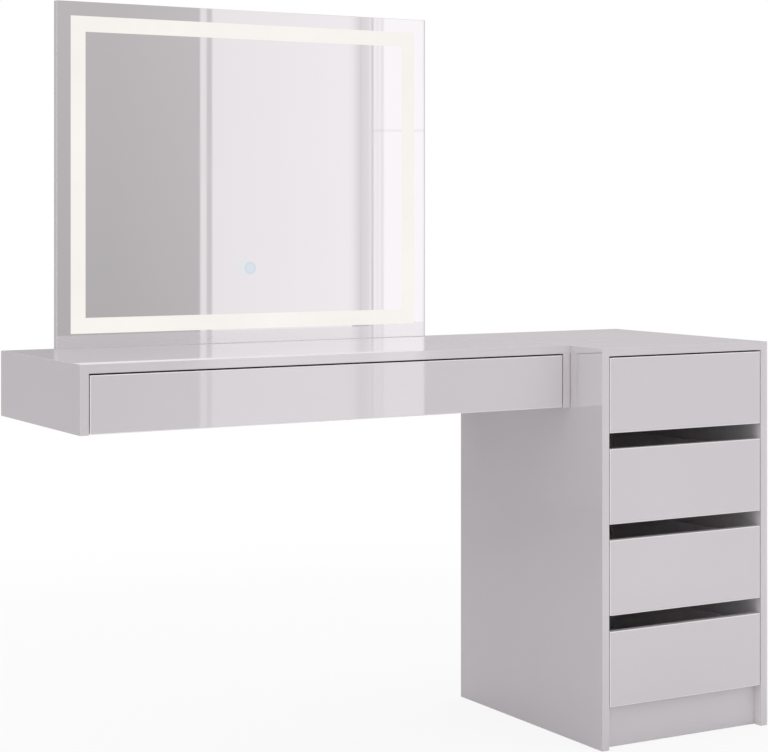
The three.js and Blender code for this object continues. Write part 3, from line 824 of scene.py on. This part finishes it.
# The touch switch: a moulded plug with a flange, pushed into the board from the front, with a
# socket for its leads behind.
sensor_shell = finish("sensor_shell", (0.62, 0.72, 0.78), (0.56, 0.66, 0.72), 150, (0.25, 0.4),
                      900, 8e-6)
plug = round_bar("mirror_touch_sensor_plug",
                 (spot.x, sensor_low.y + flange_thickness / 2, spot.z), flange,
                 flange_thickness, 48, facing_y)
plug_length = sensor_high.y - sensor_low.y - flange_thickness
bpy.ops.object.mode_set(mode="EDIT")
choose("FACE", lambda face: face.normal.y > 0.99)
bpy.ops.mesh.inset(thickness=flange - barrel, depth=0)
bpy.ops.mesh.extrude_region_move(TRANSFORM_OT_translate={"value": (0, plug_length, 0)})
bpy.ops.mesh.inset(thickness=2 * mm, depth=0)
bpy.ops.mesh.extrude_region_move(TRANSFORM_OT_translate={"value": (0, -3 * mm, 0)})
choose("EDGE", lambda edge: abs(edge.verts[0].co.y - edge.verts[1].co.y) < 1e-6
       and edge.is_manifold and edge.calc_face_angle(0) > 1)
bpy.ops.mesh.bevel(offset=0.3 * mm, segments=2, affect="EDGES")
choose("FACE", lambda face: face.normal.y < -0.99)
bpy.ops.mesh.inset(thickness=1.2 * mm, depth=0)
bpy.ops.mesh.inset(thickness=0.4 * mm, depth=-0.3 * mm)
bpy.ops.object.mode_set(mode="OBJECT")
smooth_over(plug)
lay_on(plug, sensor_shell)
join_to(plug, "cabinet", "sensor_plastic", "mirror_touch_sensor")

# The plate that joins the mirror to the desk: steel 2 mm thick, zinc plated, with rounded
# corners. Six countersunk screws hold it, three in the desk and three in the mirror's board.
plate_low, plate_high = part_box("mirror_fixing_plate")
plate_corner = 10 * mm
plate_rim = 0.3 * mm
hole_radius = 2.6 * mm
sink_radius = 4.7 * mm
screw_zinc = finish("screw_zinc", (0.84, 0.77, 0.6), (0.68, 0.6, 0.42), 300, (0.18, 0.3), 900,
                    4e-6, Metallic=1)
shares = [(across, up) for across in (0.1, 0.5, 0.9) for up in (0.25, 0.75)]
places = [Vector((plate_low.x + across * (plate_high.x - plate_low.x), plate_high.y,
                  plate_low.z + up * (plate_high.z - plate_low.z))) for across, up in shares]
plate = new_block("mirror_fixing_plate_cut", plate_low, plate_high)
bpy.ops.object.mode_set(mode="EDIT")
choose("EDGE", lambda edge: abs(edge.verts[0].co.y - edge.verts[1].co.y) > 1 * mm)
bpy.ops.mesh.bevel(offset=plate_corner, segments=8, affect="EDGES")
choose("EDGE", lambda edge: abs(edge.verts[0].co.y - edge.verts[1].co.y) < 1e-6)
bpy.ops.mesh.bevel(offset=plate_rim, segments=2, affect="EDGES")
bpy.ops.object.mode_set(mode="OBJECT")


def cone(name, middle, narrow, wide, length, facets):
    """A cone along Y, wide at its back, for a countersunk hole or head."""
    bpy.ops.object.select_all(action="DESELECT")
    bpy.ops.mesh.primitive_cone_add(vertices=facets, radius1=wide, radius2=narrow,
                                    depth=length, location=middle,
                                    rotation=[math.radians(angle) for angle in facing_y])
    made = bpy.context.object
    made.name = name
    bpy.ops.object.transform_apply(location=True, rotation=True, scale=True)
    return made


screws = []
sheet_depth = plate_high.y - plate_low.y
for number, place in enumerate(places):
    back = 0.1 * mm
    middle = place + Vector((0, back - (sheet_depth + 0.2 * mm) / 2, 0))
    cut_away(plate, cone("cutter", middle, hole_radius, sink_radius, sheet_depth + 0.2 * mm, 32))
    screw = cone("mirror_fixing_screws", place - Vector((0, sheet_depth / 2, 0)),
                 hole_radius - 0.3 * mm, sink_radius - 0.6 * mm, sheet_depth - 0.1 * mm, 32)
    bpy.ops.object.mode_set(mode="EDIT")
    choose("EDGE", lambda edge: all(end.co.y > place.y - 0.2 * mm for end in edge.verts))
    bpy.ops.mesh.bevel(offset=0.2 * mm, segments=2, affect="EDGES")
    bpy.ops.object.mode_set(mode="OBJECT")
    for x, z in ((cross_length, cross_width), (cross_width, cross_length)):
        arm = Vector((x, 2.4 * mm, z)) / 2
        cut_away(screw, new_block("cutter", place - arm, place + arm))
    smooth_over(screw)
    lay_on(screw, screw_zinc)
    screws.append(screw)
smooth_over(plate)
lay_on(plate, zinc)
join_to(plate, "cabinet", "zinc_steel", "mirror_fixing_plate")
bpy.ops.object.select_all(action="DESELECT")
for screw in screws:
    screw.select_set(True)
bpy.context.view_layer.objects.active = screws[0]
bpy.ops.object.join()
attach(screws[0], "cabinet")
